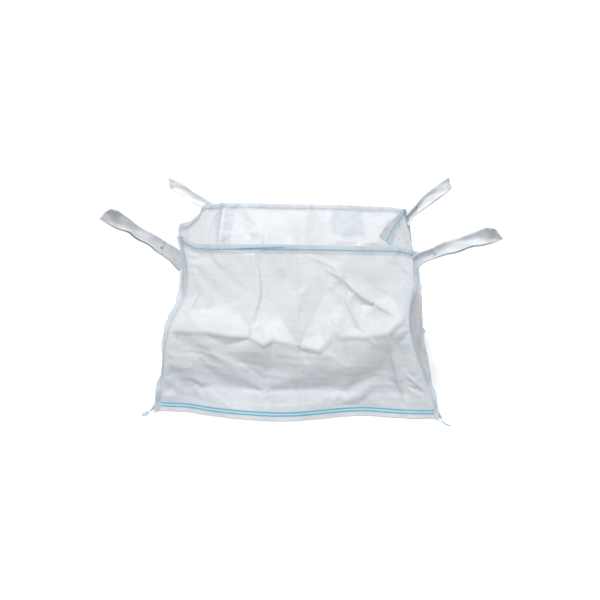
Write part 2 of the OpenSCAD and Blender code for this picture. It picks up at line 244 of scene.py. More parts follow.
# Creases as lines of points: share of the width from the left, share of the height, millimetres out
CREASES = {
    "front": [
        [(0, .47, 0), (.06, .47, 5), (.14, .48, 9), (.34, .46, 8), (.40, .43, 14), (.435, .45, 5),
         (.54, .425, 9), (.625, .395, 14), (.65, .43, 5), (.695, .51, 3), (.71, .47, 4), (.75, .475, 9),
         (.825, .475, 11), (.90, .49, 16), (.975, .565, 3)],
        [(.305, .94, 2), (.325, .70, 4), (.335, .52, 5), (.40, .43, 14)],
        [(.318, .94, -1), (.338, .70, 0), (.350, .54, 0)],
        [(.505, .96, 1), (.51, .70, 4), (.54, .425, 9)],
        [(.54, .425, 9), (.515, .20, 4), (.51, .04, 2)],
        [(.70, .85, 0), (.705, .66, 4), (.71, .47, 4)],
        [(.055, .57, 5), (.14, .48, 10)],
        [(.62, .855, 2), (.68, .82, 9), (.757, .73, 11), (.858, .65, 10), (.958, .578, 6), (.975, .565, 3)],
        [(.655, .875, 5), (.68, .82, 9)],
        [(.68, .82, 9), (.70, .775, 5), (.725, .675, 8), (.775, .58, 9), (.825, .475, 11)],
        [(.80, .585, 1), (.855, .53, 8), (.90, .49, 16)],
        [(.90, .49, 16), (.906, .378, 10), (.897, .06, 5)],
        [(.825, .475, 11), (.855, .42, 6), (.89, .34, 3)],
        [(.265, .325, 2), (.32, .25, 7), (.39, .155, 2)],
        [(.035, .36, 2), (.195, .347, 6), (.295, .285, 3)],
        [(.93, .22, 2), (.965, .17, 7), (.985, .10, 2)],
        [(.92, .14, 1), (.955, .09, 6)],
        [(.012, .90, 1), (.036, .80, 5), (.046, .66, 6), (.055, .57, 5)],
        [(.10, .90, 1), (.095, .72, 3), (.105, .60, 2)],
        [(.20, .62, -5)], [(.26, .70, -4)], [(.43, .60, -5)], [(.60, .57, -5)], [(.44, .80, -2)],
        [(.62, .70, -3)], [(.72, .90, -3)], [(.82, .76, -4)], [(.93, .68, -3)], [(.79, .66, -5)],
        [(.72, .74, -2)], [(.86, .57, -4)], [(.765, .53, -3)], [(.94, .40, -4)], [(.94, .28, -5)],
        [(.86, .22, -4)], [(.25, .40, -1)], [(.42, .27, 3)], [(.63, .24, 2)], [(.74, .28, 1)],
        [(.70, .12, 1)], [(.40, .08, 1)],
    ],
    "right": [
        [(0, .56, 0), (.11, .53, 2), (.22, .52, 5), (.34, .56, 9), (.50, .50, 8), (.62, .53, 12),
         (.80, .47, 6), (.93, .50, 9), (1, .47, 0)],
        [(.25, .95, 1), (.24, .75, 0), (.22, .52, 5)], [(.22, .52, 5), (.26, .30, 5), (.25, .06, 1)],
        [(.50, .95, 1), (.49, .72, 5), (.50, .50, 8)], [(.50, .50, 8), (.51, .28, 4), (.50, .05, 2)],
        [(.76, .95, 2), (.77, .70, 6), (.80, .47, 6)], [(.80, .47, 6), (.76, .25, 6), (.75, .06, 1)],
        [(.34, .56, 9), (.40, .74, 3), (.44, .90, 2)], [(.62, .53, 12), (.66, .36, 6), (.62, .16, 2)],
        [(.13, .80, 0), (.11, .53, 2)], [(.02, .09, 1), (.12, .14, 8), (.20, .10, 2)],
        [(.93, .50, 9), (.90, .68, 5), (.92, .88, 1)],
        [(.15, .70, -6)], [(.33, .72, -5)], [(.57, .70, -6)], [(.70, .66, -5)], [(.84, .62, -5)],
        [(.12, .34, -5)], [(.38, .34, -5)], [(.58, .28, -4)], [(.88, .28, -5)],
    ],
    "back": [
        [(0, .46, 0), (.12, .47, 8), (.26, .45, 10), (.38, .49, 6), (.50, .45, 12), (.66, .47, 8),
         (.77, .44, 11), (.90, .48, 8), (1, .47, 0)],
        [(.25, .95, 2), (.255, .70, 5), (.26, .45, 10)], [(.26, .45, 10), (.25, .24, 5), (.25, .05, 1)],
        [(.50, .96, 1), (.50, .70, 5), (.50, .45, 12)], [(.50, .45, 12), (.495, .22, 5), (.50, .05, 1)],
        [(.75, .95, 2), (.755, .72, 5), (.77, .44, 11)], [(.77, .44, 11), (.75, .22, 6), (.75, .05, 1)],
        [(.12, .47, 8), (.08, .66, 6), (.10, .90, 2)], [(.38, .49, 6), (.42, .60, 8), (.46, .74, 2)],
        [(.66, .47, 8), (.62, .30, 7), (.64, .14, 2)], [(.90, .48, 8), (.93, .28, 6), (.90, .08, 2)],
        [(.16, .72, -2)], [(.37, .72, -3)], [(.62, .68, -3)], [(.85, .70, 0)], [(.12, .26, -5)],
        [(.38, .28, -4)], [(.84, .26, -5)], [(.56, .30, -3)],
    ],
    "left": [
        [(0, .47, 0), (.10, .50, 7), (.24, .47, 8), (.37, .52, 12), (.51, .48, 7), (.63, .50, 11),
         (.77, .45, 8), (.90, .43, 6), (1, .40, 0)],
        [(.25, .95, 1), (.24, .70, 5), (.24, .47, 8)], [(.24, .47, 8), (.26, .25, 6), (.25, .05, 1)],
        [(.50, .96, 1), (.51, .72, 5), (.51, .48, 7)], [(.51, .48, 7), (.49, .26, 5), (.50, .05, 1)],
        [(.75, .95, 1), (.76, .70, 6), (.77, .46, 8)], [(.77, .46, 8), (.74, .24, 6), (.75, .05, 1)],
        [(.90, .43, 6), (.87, .62, -2)], [(.90, .43, 6), (.87, .30, 5), (.92, .16, 2)],
        [(.37, .52, 12), (.40, .36, 6), (.36, .18, 2)], [(.10, .50, 9), (.07, .30, 5), (.12, .10, 2)],
        [(.15, .70, -5)], [(.38, .72, -5)], [(.63, .72, -5)], [(.86, .68, -5)], [(.16, .28, -5)],
        [(.58, .30, -4)], [(.83, .16, -3)], [(.32, .30, -3)],
    ],
    "base": [
        [(0, .50, 0), (.12, .51, 4), (.27, .49, 7), (.50, .50, 9), (.74, .51, 6), (.90, .49, 4), (1, .50, 0)],
        [(.50, 0, 0), (.49, .13, 4), (.51, .28, 7), (.50, .50, 9), (.49, .73, 7), (.50, .90, 4), (.50, 1, 0)],
        [(.08, .09, 3), (.20, .23, 7), (.33, .35, 3)], [(.92, .08, 3), (.79, .22, 8), (.66, .34, 3)],
        [(.10, .91, 3), (.22, .77, 7), (.34, .67, 3)], [(.91, .92, 3), (.79, .79, 7), (.68, .66, 3)],
        [(.27, .49, 7), (.25, .70, 3)], [(.74, .51, 6), (.76, .30, 3)],
    ],
}

PANEL_STEPS = 100       # columns of the simulated cloth across a wall
PANEL_ROWS = 58
MEAN_WIDTH = 2 * BASE_HALF * .9
EDGE_POINTS = ((0, 0), (1, 0), (0, 1), (1, 1), (.5, 1), (.5, 0), (0, .5), (1, .5))
EDGE_CLEAR = .06        # an edge point is left out where a crease has a point this near


def crease_height(lines, s, t):
    """Height in metres of folded facets between crease lines, at shares s and t of a panel."""
    points = [p for p in EDGE_POINTS if not any(
        q[:2] != p and max(abs(q[0] - p[0]), abs(q[1] - p[1])) < EDGE_CLEAR for line in lines for q in line)]
    heights = {p: 0 for p in points}
    edges = []
    for line in lines:
        for q in line:
            if q[:2] not in heights:
                points.append(q[:2])
            heights[q[:2]] = q[2]
        places = [points.index(q[:2]) for q in line]
        edges += list(zip(places, places[1:]))
    found, _, triangles, sources, _, _ = delaunay_2d_cdt([Vector(p) for p in points], edges, [], 0, 1e-6)
    levels = [heights[points[source[0]]] if source else 0 for source in sources]
    out = np.zeros(s.shape)
    for a, b, c in triangles:
        (ax, ay), (bx, by), (cx, cy) = found[a], found[b], found[c]
        area = (bx - ax) * (cy - ay) - (cx - ax) * (by - ay)
        if abs(area) < 1e-9:
            continue
        wb = ((s - ax) * (cy - ay) - (cx - ax) * (t - ay)) / area
        wc = ((bx - ax) * (t - ay) - (s - ax) * (by - ay)) / area
        wa = 1 - wb - wc
        inside = (wa > -1e-6) & (wb > -1e-6) & (wc > -1e-6)
        out[inside] = (wa * levels[a] + wb * levels[b] + wc * levels[c])[inside]
    return out / 1000


def to_line(line, s, t):
    """Distance in metres to a line from each place, the line's height there, and 1 above it or -1 below."""
    x, y = s * MEAN_WIDTH, t * (BAG_H - SEAM_Z)
    nearest = np.full(s.shape, 9.0)
    height = np.zeros(s.shape)
    above = np.zeros(s.shape)
    for a, b in zip(line, line[1:]):
        ax, ay = a[0] * MEAN_WIDTH, a[1] * (BAG_H - SEAM_Z)
        dx, dy = (b[0] - a[0]) * MEAN_WIDTH, (b[1] - a[1]) * (BAG_H - SEAM_Z)
        along = np.clip(((x - ax) * dx + (y - ay) * dy) / (dx * dx + dy * dy), 0, 1)
        off_x, off_y = x - ax - along * dx, y - ay - along * dy
        distance = np.hypot(off_x, off_y)
        closer = distance < nearest
        nearest[closer] = distance[closer]
        height[closer] = (a[2] + (b[2] - a[2]) * along)[closer] / 1000
        above[closer] = np.sign(off_y * dx - off_x * dy)[closer] * (1 if dx >= 0 else -1)
    return nearest, height, above


# Height of the pinched ridges along a wall's creases, as a share of the crease's height
PINCH = {"front": .95, "right": .15, "back": .6, "left": .15}
PINCH_W = .0105         # half width of a pinched ridge
# The mid fold's shelf: how far it stands out in metres, and the share of its crease's height added to that
SHELF = {"front": (.006, .62), "right": (.003, .4), "back": (.004, .6), "left": (.003, .4)}
SHELF_UP = .036         # how far above the mid fold the cloth starts to flare out
SHELF_DOWN = .013       # how sharply it drops below the fold
BELOW_SHELF = .30       # share of the shelf that is left straight below it
BELOW_REACH = (.03, .05)        # how far down that stays, and how softly it then fades


def fold_height(side, s, t):
    """The mid fold's shelf (the first line) and the narrow pinched ridges along the other creases."""
    mid_fold, *others = CREASES[side]
    distance, height, above = to_line(mid_fold, s, t)
    flare = np.exp(-distance / SHELF_UP)
    drop = BELOW_SHELF + (1 - BELOW_SHELF) * np.clip(1 - distance / SHELF_DOWN, 0, 1)
    fade = np.exp(-np.maximum(distance - BELOW_REACH[0], 0) / BELOW_REACH[1])
    out = (SHELF[side][0] + height * SHELF[side][1]) * np.where(above > 0, flare, drop * fade)
    for line in others:
        if len(line) < 2:
            continue
        distance, height, _ = to_line(line, s, t)
        out = np.maximum(out, height * PINCH[side] * np.clip(1 - distance / PINCH_W, 0, 1))
    return out


# Wrinkles as height, length along them and length across them, in metres
SLANTING_WRINKLES = (.0050, .12, .026)
FLAT_RIPPLES = (.0013, .075, .013)
WIDE_CRINKLES = (.0012, .13, .035)
FINE_CRINKLES = (.0005, .045, .028)
RIDGED_CRINKLES = (.0011, .09, .06)


def slack_waves(seed, u, v):
    """Slanting wrinkles of slack cloth near the front's left foot, and flat ripples over the lower half."""
    along, across = u * .87 - v * .5, u * .5 + v * .87
    slanting = value_noise(seed, along / SLANTING_WRINKLES[1], across / SLANTING_WRINKLES[2])
    flat = value_noise(seed + 1, u / FLAT_RIPPLES[1], v / FLAT_RIPPLES[2])
    left_foot = (1 - smooth_step((u - .20) / .20)) * (1 - smooth_step((v - .13) / .09))
    lower = 1 - smooth_step((v - .19) / .06)
    return SLANTING_WRINKLES[0] * slanting * left_foot + FLAT_RIPPLES[0] * flat * (.15 + .85 * lower)


def crinkle(seed, u, v, long_way=WIDE_CRINKLES[1], short_way=WIDE_CRINKLES[2]):
    """Fine irregular ripples of stiff woven cloth, in metres, at places u and v in metres."""
    wide = value_noise(seed, u / long_way, v / short_way)
    fine = value_noise(seed + 1, (u + .7 * v) / FINE_CRINKLES[1], (v - .5 * u) / FINE_CRINKLES[2])
    ridge = value_noise(seed + 2, (u - .4 * v) / RIDGED_CRINKLES[1], (v + .6 * u) / RIDGED_CRINKLES[2])
    return WIDE_CRINKLES[0] * wide + FINE_CRINKLES[0] * fine + RIDGED_CRINKLES[0] * (1 - 2 * np.abs(ridge))


def wall_target(side):
    """A wall's slumped shape: rows from the base seam up, columns from its left corner."""
    k = SIDES.index(side)
    t = np.linspace(0, 1, PANEL_ROWS + 1)
    s = np.linspace(0, 1, PANEL_STEPS + 1)
    z = SEAM_Z + t * (BAG_H - SEAM_Z)
    ends = []
    for corner in (CORNERS[k], CORNERS[(k + 1) % 4]):
        path = np.array(SEAM_PATHS[corner])
        ends.append(rows_softened(points_at(z, path[:, 0], path[:, 1:]), 8))
    crown = 1 - np.abs(2 * s - 1) ** BULGE_POWER[side]
    bulge = rows_softened(np.interp(z, *zip(*BULGES[side])), BULGE_SOFTNESS[side])
    flat = ends[0][:, None] * (1 - s)[None, :, None] + ends[1][:, None] * s[None, :, None]
    out_by = bulge[:, None] * crown[None]
    if side == "front":
        bow = rows_softened(np.interp(s, *zip(*FRONT_BOW)), 12)
        out_by = out_by + bow[None] * (1 - smooth_step((z - SEAM_Z) / (SKIRT_TOP - SEAM_Z)))[:, None]
    points = np.zeros((PANEL_ROWS + 1, PANEL_STEPS + 1, 3))
    share, lean, lift = np.array(TOP_EDGES[side]).T
    lean = rows_softened(np.interp(s, share, lean), 6)
    lift = rows_softened(np.interp(s, share, lift), 3)
    leaning = np.clip((t - LEAN_FROM[side]) / (1 - LEAN_FROM[side]), 0, 1) ** LEAN_POWER
    out_by = out_by + lean[None] * leaning[:, None]
    points[..., :2] = flat + out_by[..., None] * OUT[k][:2]
    points[..., 2] = z[:, None] + lift[None] * smooth_step((t - TOP_FROM) / (1 - TOP_FROM))[:, None]
    return points


def edge_fade(s, t, side_width, low, high):
    """1 in a panel's middle, falling to 0 at its sides, base and top."""
    return (smooth_step(s / side_width) * smooth_step((1 - s) / side_width)
            * smooth_step(t / low) * smooth_step((1 - t) / high))


def shares(rows, cols):
    """Each grid point's share of the way across and of the way up."""
    t, s = np.meshgrid(np.linspace(0, 1, rows), np.linspace(0, 1, cols), indexing="ij")
    return s, t


targets = {}
for side in SIDES:
    wall = wall_target(side)
    s, t = shares(*wall.shape[:2])
    height = crease_height(CREASES[side], s, t) * edge_fade(s, t, .02, .03, .05)
    targets[side] = wall + grid_normals(wall) * height[..., None]


# ---------------------------------------------------------------- cloth simulation of the four walls
SETTLE_FRAMES = 24
HOLD_CREASES = 0.06     # how firmly the cloth is held to its folds away from the seams
HOLD_TOP = 0.35         # how firmly its top edge is held
CLOTH_SETTINGS = {
    "quality": 5, "mass": 0.02, "tension_stiffness": 30, "compression_stiffness": 30, "shear_stiffness": 12,
    "bending_stiffness": 3, "tension_damping": 8, "compression_damping": 8, "shear_damping": 8,
    "bending_damping": 1, "air_damping": 3, "vertex_group_mass": "held", "pin_stiffness": 1.0,
    "shrink_min": -0.012}
SETTLE_GRAVITY = 0.6


def settle(walls):
    """The walls as one ring of cloth, a little larger than its place, settled under gravity."""
    ring = np.concatenate([walls[side][:, :-1] for side in SIDES], axis=1)
    rows, cols = ring.shape[:2]
    faces = [(j * cols + i, j * cols + (i + 1) % cols, (j + 1) * cols + (i + 1) % cols, (j + 1) * cols + i)
             for j in range(rows - 1) for i in range(cols)]
    cloth = add_mesh("settling", ring.reshape(-1, 3), faces)
    t = np.linspace(0, 1, rows)[:, None] * np.ones((1, cols))
    to_corner = (np.arange(cols) % PANEL_STEPS)[None] * np.ones((rows, 1))
    to_corner = np.minimum(to_corner, PANEL_STEPS - to_corner) / PANEL_STEPS
    hold = HOLD_CREASES + (1 - HOLD_CREASES) * np.maximum.reduce([
        1 - smooth_step(to_corner / .03), 1 - smooth_step(t / .04), HOLD_TOP * smooth_step((t - .94) / .06)])
    hold = np.round(hold.ravel(), 2)
    group = cloth.vertex_groups.new(name="held")
    for weight in np.unique(hold):
        group.add([int(i) for i in np.nonzero(hold == weight)[0]], float(weight), "REPLACE")
    modifier = cloth.modifiers.new("cloth", "CLOTH")
    for setting, value in CLOTH_SETTINGS.items():
        setattr(modifier.settings, setting, value)
    modifier.settings.effector_weights.gravity = SETTLE_GRAVITY
    modifier.collision_settings.use_collision = False
    modifier.point_cache.frame_start = 1
    modifier.point_cache.frame_end = SETTLE_FRAMES
    for step in range(1, SETTLE_FRAMES + 1):
        scene.frame_set(step)
    shape = cloth.evaluated_get(bpy.context.evaluated_depsgraph_get()).data
    settled = np.empty(len(shape.vertices) * 3)
    shape.vertices.foreach_get("co", settled)
    scene.frame_set(1)
    mesh = cloth.data
    bpy.data.objects.remove(cloth)
    bpy.data.meshes.remove(mesh)
    settled = settled.reshape(rows, cols, 3)
    settled = np.concatenate([settled, settled[:, :1]], axis=1)
    return {side: settled[:, k * PANEL_STEPS:(k + 1) * PANEL_STEPS + 1] for k, side in enumerate(SIDES)}


settled = settle(targets)

# Share of a wall's width next to each corner where its folds fade out
FOLD_FADE = {"front": .03, "right": .14, "back": .05, "left": .14}

# Finer walls, with the creases sharpened and the crinkles of stiff cloth added
walls, wall_normals = {}, {}
for k, side in enumerate(SIDES):
    fine = doubled(doubled(settled[side], 0), 1)
    s, t = shares(*fine.shape[:2])
    coarse_s, coarse_t = shares(*settled[side].shape[:2])
    sharp = crease_height(CREASES[side], s, t)
    blunt = doubled(doubled(crease_height(CREASES[side], coarse_s, coarse_t), 0), 1)
    folds = fold_height(side, s, t) * edge_fade(s, t, FOLD_FADE[side], .04, .07)
    u, v = s * 2 * BASE_HALF, t * BAG_H
    detail = sharp - blunt + crinkle(10 * k + 1, u, v) + slack_waves(10 * k + 5, u, v)
    fine = fine + grid_normals(fine) * (folds + detail * edge_fade(s, t, .03, .04, .07))[..., None]
    walls[side] = fine
    wall_normals[side] = grid_normals(fine)
ROWS, COLS = walls["front"].shape[0] - 1, walls["front"].shape[1] - 1
ROW_H = (BAG_H - SEAM_Z) / ROWS


# ---------------------------------------------------------------- materials
class Shading:
    """A node tree, with short ways to add nodes to it and join them."""

    def __init__(self, tree):
        self.nodes, self.link = tree.nodes, tree.links.new

    def node(self, kind, **inputs):
        """A node with some sockets set to a number or joined to another node's output."""
        node = self.nodes.new("ShaderNode" + kind)
        for name, value in inputs.items():
            self.set(node, name.replace("_", " "), value)
        return node

    def set(self, node, name, value):
        if isinstance(value, bpy.types.NodeSocket):
            self.link(value, node.inputs[name])
        else:
            node.inputs[name].default_value = value

    def math(self, operation, *values):
        node = self.nodes.new("ShaderNodeMath")
        node.operation = operation
        for place, value in enumerate(values):
            self.set(node, place, value)
        return node.outputs[0]

    def noise(self, vector, scale, detail=2.0, roughness=0.5, stretch=(1, 1, 1)):
        """Noise over a vector, with its own scale along each axis."""
        place = self.node("Mapping", Scale=stretch, Vector=vector)
        return self.node("TexNoise", Scale=scale, Detail=detail, Roughness=roughness,
                         Vector=place.outputs["Vector"]).outputs["Fac"]

    def ramp(self, factor, stops):
        node = self.node("ValToRGB", Fac=factor)
        ramp = node.color_ramp
        ramp.elements[0].position, ramp.elements[0].color = stops[0][0], (*stops[0][1], 1)
        ramp.elements[1].position, ramp.elements[1].color = stops[-1][0], (*stops[-1][1], 1)
        for position, colour in stops[1:-1]:
            ramp.elements.new(position).color = (*colour, 1)
        return node.outputs["Color"]

    def split(self, vector):
        return self.node("SeparateXYZ", Vector=vector).outputs

    def tapes(self, distance, pitch):
        """One random value for each tape of the weave, and the place across that tape."""
        across = self.math("DIVIDE", distance, pitch)
        random_value = self.nodes.new("ShaderNodeTexWhiteNoise")
        random_value.noise_dimensions = "1D"
        self.link(self.math("FLOOR", across), random_value.inputs["W"])
        return random_value.outputs["Value"], self.math("SINE", self.math("MULTIPLY", across, math.pi))


class Surface(Shading):
    """A new material with its main shader, and its cloth UVs in metres."""

    def __init__(self, name):
        self.material = bpy.data.materials.new(name)
        self.material.use_nodes = True
        super().__init__(self.material.node_tree)
        self.shader, self.output = self.nodes["Principled BSDF"], self.nodes["Material Output"]

    def cloth_uv(self):
        node = self.nodes.new("ShaderNodeUVMap")
        node.uv_map = "cloth"
        return node.outputs["UV"]

    def look(self, **inputs):
        for name, value in inputs.items():
            self.set(self.shader, name.replace("_", " "), value)

    def relief(self, height, strength, distance):
        normal = self.node("Bump", Strength=strength, Distance=distance, Height=height).outputs["Normal"]
        self.look(Normal=normal)
        return normal


LOW_SHADE_HEIGHTS = (0.10, 0.36)     # painted shade: the cloth is darkened, in patches, below these heights


def painted_low_shade(surface, amount):
    """Painted shade: patchy darkening that grows towards the bag's foot, standing for the shade on the lower
    wall.
    """
    place = surface.nodes.new("ShaderNodeTexCoord").outputs["Object"]
    low = surface.nodes.new("ShaderNodeMapRange")
    low.interpolation_type = "SMOOTHSTEP"
    low.inputs["From Min"].default_value = LOW_SHADE_HEIGHTS[1]
    low.inputs["From Max"].default_value = LOW_SHADE_HEIGHTS[0]
    surface.link(surface.split(place)["Z"], low.inputs["Value"])
    patchy = surface.noise(place, 9.0, 4.0, 0.6)
    return surface.math("MULTIPLY", low.outputs["Result"],
                        surface.math("MULTIPLY_ADD", patchy, amount, amount * 0.6))


def woven_material(name, tape, colours, roughness, see_through, bump, streak, soil_and_shade=0.0):
    """Plain-woven flat plastic tape: each tape has its own tone, and light comes through."""
    cloth = Surface(name)
    uv = cloth.cloth_uv()
    parts = cloth.split(uv)
    warp, warp_wave = cloth.tapes(parts["X"], tape)
    weft, weft_wave = cloth.tapes(parts["Y"], tape)
    weave = cloth.math("MULTIPLY", warp_wave, weft_wave)
    streaks = cloth.noise(uv, 1.0, 3.0, 0.6, (20, 95, 1))
    cloudy = cloth.noise(uv, 6.0, 3.0, 0.55)
    tone = 0.23
    for layer, share in ((weft, 0.06), (warp, 0.04), (streaks, streak), (cloudy, 0.35), (weave, 0.10)):
        tone = cloth.math("MULTIPLY_ADD", layer, share, tone)
    # painted shade: the lower wall is darkened in patches, standing for the shade it lies in
    if soil_and_shade:
        tone = cloth.math("SUBTRACT", tone, painted_low_shade(cloth, soil_and_shade))
    colour = cloth.ramp(tone, [(0.25, colours[0]), (0.60, colours[1]), (0.95, colours[2])])
    cloth.look(Base_Color=colour, Roughness=cloth.math("MULTIPLY_ADD", cloudy, 0.16, roughness),
               Specular_IOR_Level=0.4, Sheen_Weight=0.12, Sheen_Roughness=0.5)
    height = cloth.math("MULTIPLY_ADD", weave, 0.5, cloth.math("MULTIPLY", streaks, 0.8))
    normal = cloth.relief(height, bump, 0.0004)
    if see_through:
        glow = cloth.node("BsdfTranslucent", Color=colour, Normal=normal)
        mix = cloth.node("MixShader", Fac=see_through)
        cloth.set(mix, 1, cloth.shader.outputs["BSDF"])
        cloth.set(mix, 2, glow.outputs["BSDF"])
        cloth.set(cloth.output, "Surface", mix.outputs["Shader"])
    return cloth.material


def thread_material(name, colours):
    """Twisted multifilament thread: slanting plies along each stitch."""
    thread = Surface(name)
    uv = thread.cloth_uv()
    parts = thread.split(uv)
    along = thread.math("DIVIDE", parts["X"], THREAD_D * 0.9)
    twist = thread.math("SINE", thread.math("MULTIPLY", thread.math("ADD", along, parts["Y"]), 2 * math.pi))
    fuzz = thread.noise(uv, 900, 2.0, 0.6)
    tone = thread.math("MULTIPLY_ADD", twist, 0.25, thread.math("MULTIPLY_ADD", fuzz, 0.4, 0.3))
    colour = thread.ramp(tone, [(0.15, colours[0]), (0.55, colours[1]), (0.95, colours[2])])
    thread.look(Base_Color=colour, Roughness=0.55, Sheen_Weight=0.3)
    thread.relief(twist, 0.7, 0.0004)
    return thread.material


def webbing_material():
    """Dense lifting webbing: ribs across it, cords along it and firm edges."""
    strap = Surface("webbing")
    uv = strap.cloth_uv()
    parts = strap.split(uv)
    rib, rib_wave = strap.tapes(parts["X"], 0.0016)
    cord, cord_wave = strap.tapes(parts["Y"], 0.0042)
    soil_and_shade = strap.noise(uv, 22, 4.0, 0.6)
    streaks = strap.noise(uv, 1.0, 2.0, 0.5, (40, 420, 1))
    tone = strap.math("MULTIPLY", cord, 0.15)
    for layer, share in ((rib, 0.12), (soil_and_shade, 0.45), (streaks, 0.30)):
        tone = strap.math("MULTIPLY_ADD", layer, share, tone)
    colour = strap.ramp(tone, [
        (0.25, (0.56, 0.60, 0.64)), (0.55, (0.73, 0.76, 0.79)), (0.90, (0.84, 0.86, 0.88))])
    strap.look(Base_Color=colour, Roughness=strap.math("MULTIPLY_ADD", soil_and_shade, 0.2, 0.5),
               Specular_IOR_Level=0.35, Sheen_Weight=0.25)
    strap.relief(strap.math("MULTIPLY_ADD", strap.math("ABSOLUTE", rib_wave), 0.5,
                            strap.math("ABSOLUTE", cord_wave)), 0.6, 0.0005)
    return strap.material


def floor_material():
    ground = Surface("pale_floor")
    place = ground.nodes.new("ShaderNodeNewGeometry").outputs["Position"]
    colour = ground.ramp(ground.noise(place, 3.0), [(0.3, (0.92, 0.92, 0.92)), (0.7, (0.94, 0.94, 0.94))])
    ground.look(Base_Color=colour, Roughness=0.8, Specular_IOR_Level=0.1)
    return ground.material


TAPE_W = 0.0026         # width of one tape of the weave
CLOTH_COLOURS = ((0.64, 0.672, 0.70), (0.81, 0.832, 0.855), (0.88, 0.893, 0.908))
# the wall cloth's last value is the amount of painted shade towards its foot
wall_cloth = woven_material("woven_wall", TAPE_W, CLOTH_COLOURS, 0.36, 0.38, 0.35, 0.22, 0.16)
hem_cloth = woven_material("woven_hem", TAPE_W, CLOTH_COLOURS, 0.36, 0.80, 0.35, 0.22)
base_cloth = woven_material("woven_base", TAPE_W, CLOTH_COLOURS, 0.40, 0.15, 0.35, 0.25)
FILM_COLOURS = ((0.82, 0.86, 0.88), (0.87, 0.90, 0.915), (0.90, 0.92, 0.93))
label_film = woven_material("label_film", 0.0011, FILM_COLOURS, 0.30, 0.85, 0.12, 0.10)
BLUE_PLIES = ((0.040, 0.340, 0.560), (0.110, 0.580, 0.820), (0.300, 0.760, 0.920))
WHITE_PLIES = ((0.60, 0.64, 0.68), (0.74, 0.77, 0.80), (0.85, 0.87, 0.89))
blue_thread = thread_material("blue_thread", BLUE_PLIES)
white_thread = thread_material("white_thread", WHITE_PLIES)
webbing = webbing_material()


# ---------------------------------------------------------------- panels with seam allowances and hem
FIN_COLS = 4
DROP_ROWS = 4
LAYER = 0.0009          # distance of each layer of a seam from the seam's own plane
FIN_UNEVEN = 0.10       # how uneven the seam allowances' widths are, as shares
DROP_UNEVEN = 0.14
FIN_TRIM = 0.34         # share of a corner's seam allowance cut away at its top
FIN_RIPPLE = 0.0022     # how far their edges wave
DROP_RIPPLE = 0.004
STRAP_GAP = 0.0022      # how far the webbing's ends hold the two allowances apart
HEM_ROWS = int(round(HEM_W / ROW_H))
BODY_ROWS = DROP_ROWS + ROWS + 1    # rows of a panel's grid below the hem's folded layers


def fin_direction(c):
    return unit(np.array([CORNER_SIGN[c][0], CORNER_SIGN[c][1], 0]))


def fin_share(j, c, z):
    """Share of a seam allowance's full width at each row, a little uneven and trimmed at the top."""
    trimmed = 1 - FIN_TRIM * smooth_step((z - .505) / .03)
    return (1 + FIN_UNEVEN * value_noise(70 + c, j * .11, j * 0 + .5)) * trimmed


# How far each corner's seam allowance is turned from the diagonal, in degrees, by height
FIN_TURNS = {
    "front_left": ((.026, 0), (.060, -10), (.110, -110), (.330, -116), (.440, -20), (.470, 0)),
    "front_right": ((.026, 0), (.060, 10), (.110, 108), (.350, 116), (.440, 40), (.470, 0)),
    "back_right": ((.026, 0), (.120, -14), (.300, 22), (.470, 0)),
    "back_left": ((.026, 0), (.120, 16), (.300, -24), (.470, 0)),
}


def fin_directions(c, z):
    """The seam allowance's direction at each height."""
    turn = np.radians(np.interp(z, *zip(*FIN_TURNS[CORNERS[c]]))) + math.atan2(*CORNER_SIGN[c][::-1])
    return np.stack([np.cos(turn), np.sin(turn), np.zeros(len(z))], -1)


def layer_gap(z):
    """Half the gap between the two allowances: wider where the webbing's ends lie between them."""
    return LAYER + STRAP_GAP * smooth_step((z - .42) / .03)


def seam_ripple(seed, along, amount):
    """How far a seam allowance's edge waves at each place along it."""
    return amount * value_noise(seed, along * .16, along * 0 + .5)


